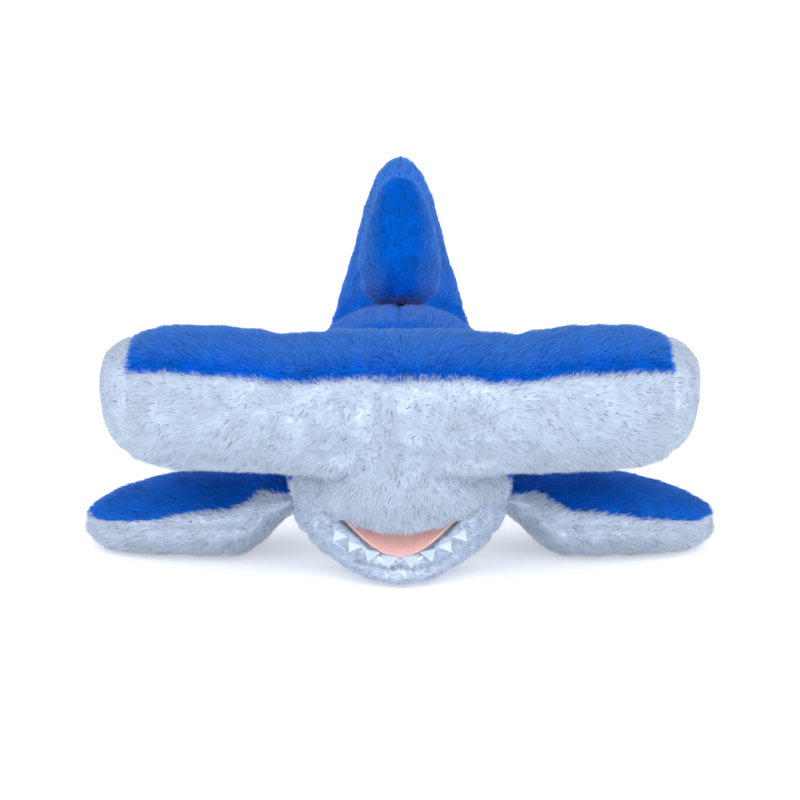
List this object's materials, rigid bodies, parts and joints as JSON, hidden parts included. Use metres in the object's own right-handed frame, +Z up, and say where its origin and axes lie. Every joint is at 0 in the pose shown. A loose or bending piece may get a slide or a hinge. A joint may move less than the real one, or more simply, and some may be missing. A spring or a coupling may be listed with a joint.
{
  "type": "plush hammerhead shark",
  "caption": "Plush hammerhead shark that rests on its belly, chin and pectoral fins, with flopping fins, bending tail and a soft jaw.",
  "frame": {"origin": "on the floor under the middle of the toy's box", "axes": "+Z up, -Y towards the nose, +X towards the shark's left fin"},
  "size_m": [0.362, 0.4293, 0.2002],
  "materials": {
    "blue_plush": "medium pile plush, royal blue",
    "white_plush": "medium pile plush, cool white",
    "short_white_plush": "short smooth pile, cool white",
    "pink_felt": "salmon pink felt",
    "white_felt": "white felt",
    "stuffing": "polyester fibre fill",
    "eye_plastic": "polished black",
    "washer_plastic": "natural white",
    "label_satin": "woven satin tape, blank"
  },
  "bodies": {
    "torso": {"hammer_top_panel": "blue_plush", "hammer_front_panel": "white_plush", "hammer_end_cap_left": "white_plush", "hammer_end_cap_right": "white_plush", "hammer_stuffing": "stuffing", "safety_eye_left": "eye_plastic", "safety_eye_right": "eye_plastic", "eye_washer_left": "washer_plastic", "eye_washer_right": "washer_plastic", "snout_panel": "white_plush", "palate_lining": "pink_felt", "snout_stuffing": "stuffing", "back_panel_left": "blue_plush", "back_panel_right": "blue_plush", "belly_panel": "short_white_plush", "body_stuffing": "stuffing", "sewn_label": "label_satin"},
    "jaw": {"lower_jaw_panel": "short_white_plush", "cheek_panel_left": "short_white_plush", "cheek_panel_right": "short_white_plush", "jaw_stuffing": "stuffing", "mouth_lining": "pink_felt", "felt_teeth": "white_felt"},
    "pectoral_left": {"pectoral_left_top": "blue_plush", "pectoral_left_bottom": "white_plush", "pectoral_left_stuffing": "stuffing"},
    "pectoral_right": {"pectoral_right_top": "blue_plush", "pectoral_right_bottom": "white_plush", "pectoral_right_stuffing": "stuffing"},
    "dorsal_fin": {"dorsal_panel_left": "blue_plush", "dorsal_panel_right": "blue_plush", "dorsal_stuffing": "stuffing"},
    "tail": {"tail_panel_left": "blue_plush", "tail_panel_right": "blue_plush", "tail_belly_panel": "short_white_plush", "tail_stuffing": "stuffing", "caudal_panel_left": "blue_plush", "caudal_panel_right": "blue_plush", "caudal_stuffing": "stuffing", "lower_lobe_left": "blue_plush", "lower_lobe_right": "blue_plush", "lower_lobe_stuffing": "stuffing"}
  },
  "joints": [
    {"name": "jaw_hinge", "type": "hinge", "parent": "torso", "child": "jaw", "pos_m": [0, -0.148, 0.036], "axis": [1, 0, 0], "range_deg": [0, 12], "stiffness_Nm_per_rad": 0.3},
    {"name": "pectoral_left_flap", "type": "hinge", "parent": "torso", "child": "pectoral_left", "pos_m": [0.0715, -0.098, 0.037], "axis": [0, -1, 0], "range_deg": [-20, 10], "stiffness_Nm_per_rad": 0.4},
    {"name": "pectoral_right_flap", "type": "hinge", "parent": "torso", "child": "pectoral_right", "pos_m": [-0.0715, -0.098, 0.037], "axis": [0, 1, 0], "range_deg": [-20, 10], "stiffness_Nm_per_rad": 0.4},
    {"name": "dorsal_fin_lean", "type": "hinge", "parent": "torso", "child": "dorsal_fin", "pos_m": [0, 0.01, 0.139], "axis": [0, 0.9923, -0.124], "range_deg": [-20, 20], "stiffness_Nm_per_rad": 0.3},
    {"name": "tail_bend", "type": "hinge", "parent": "torso", "child": "tail", "pos_m": [0, 0.085, 0.061], "axis": [0, 0, 1], "range_deg": [-12, 12], "stiffness_Nm_per_rad": 0.5}
  ]
}
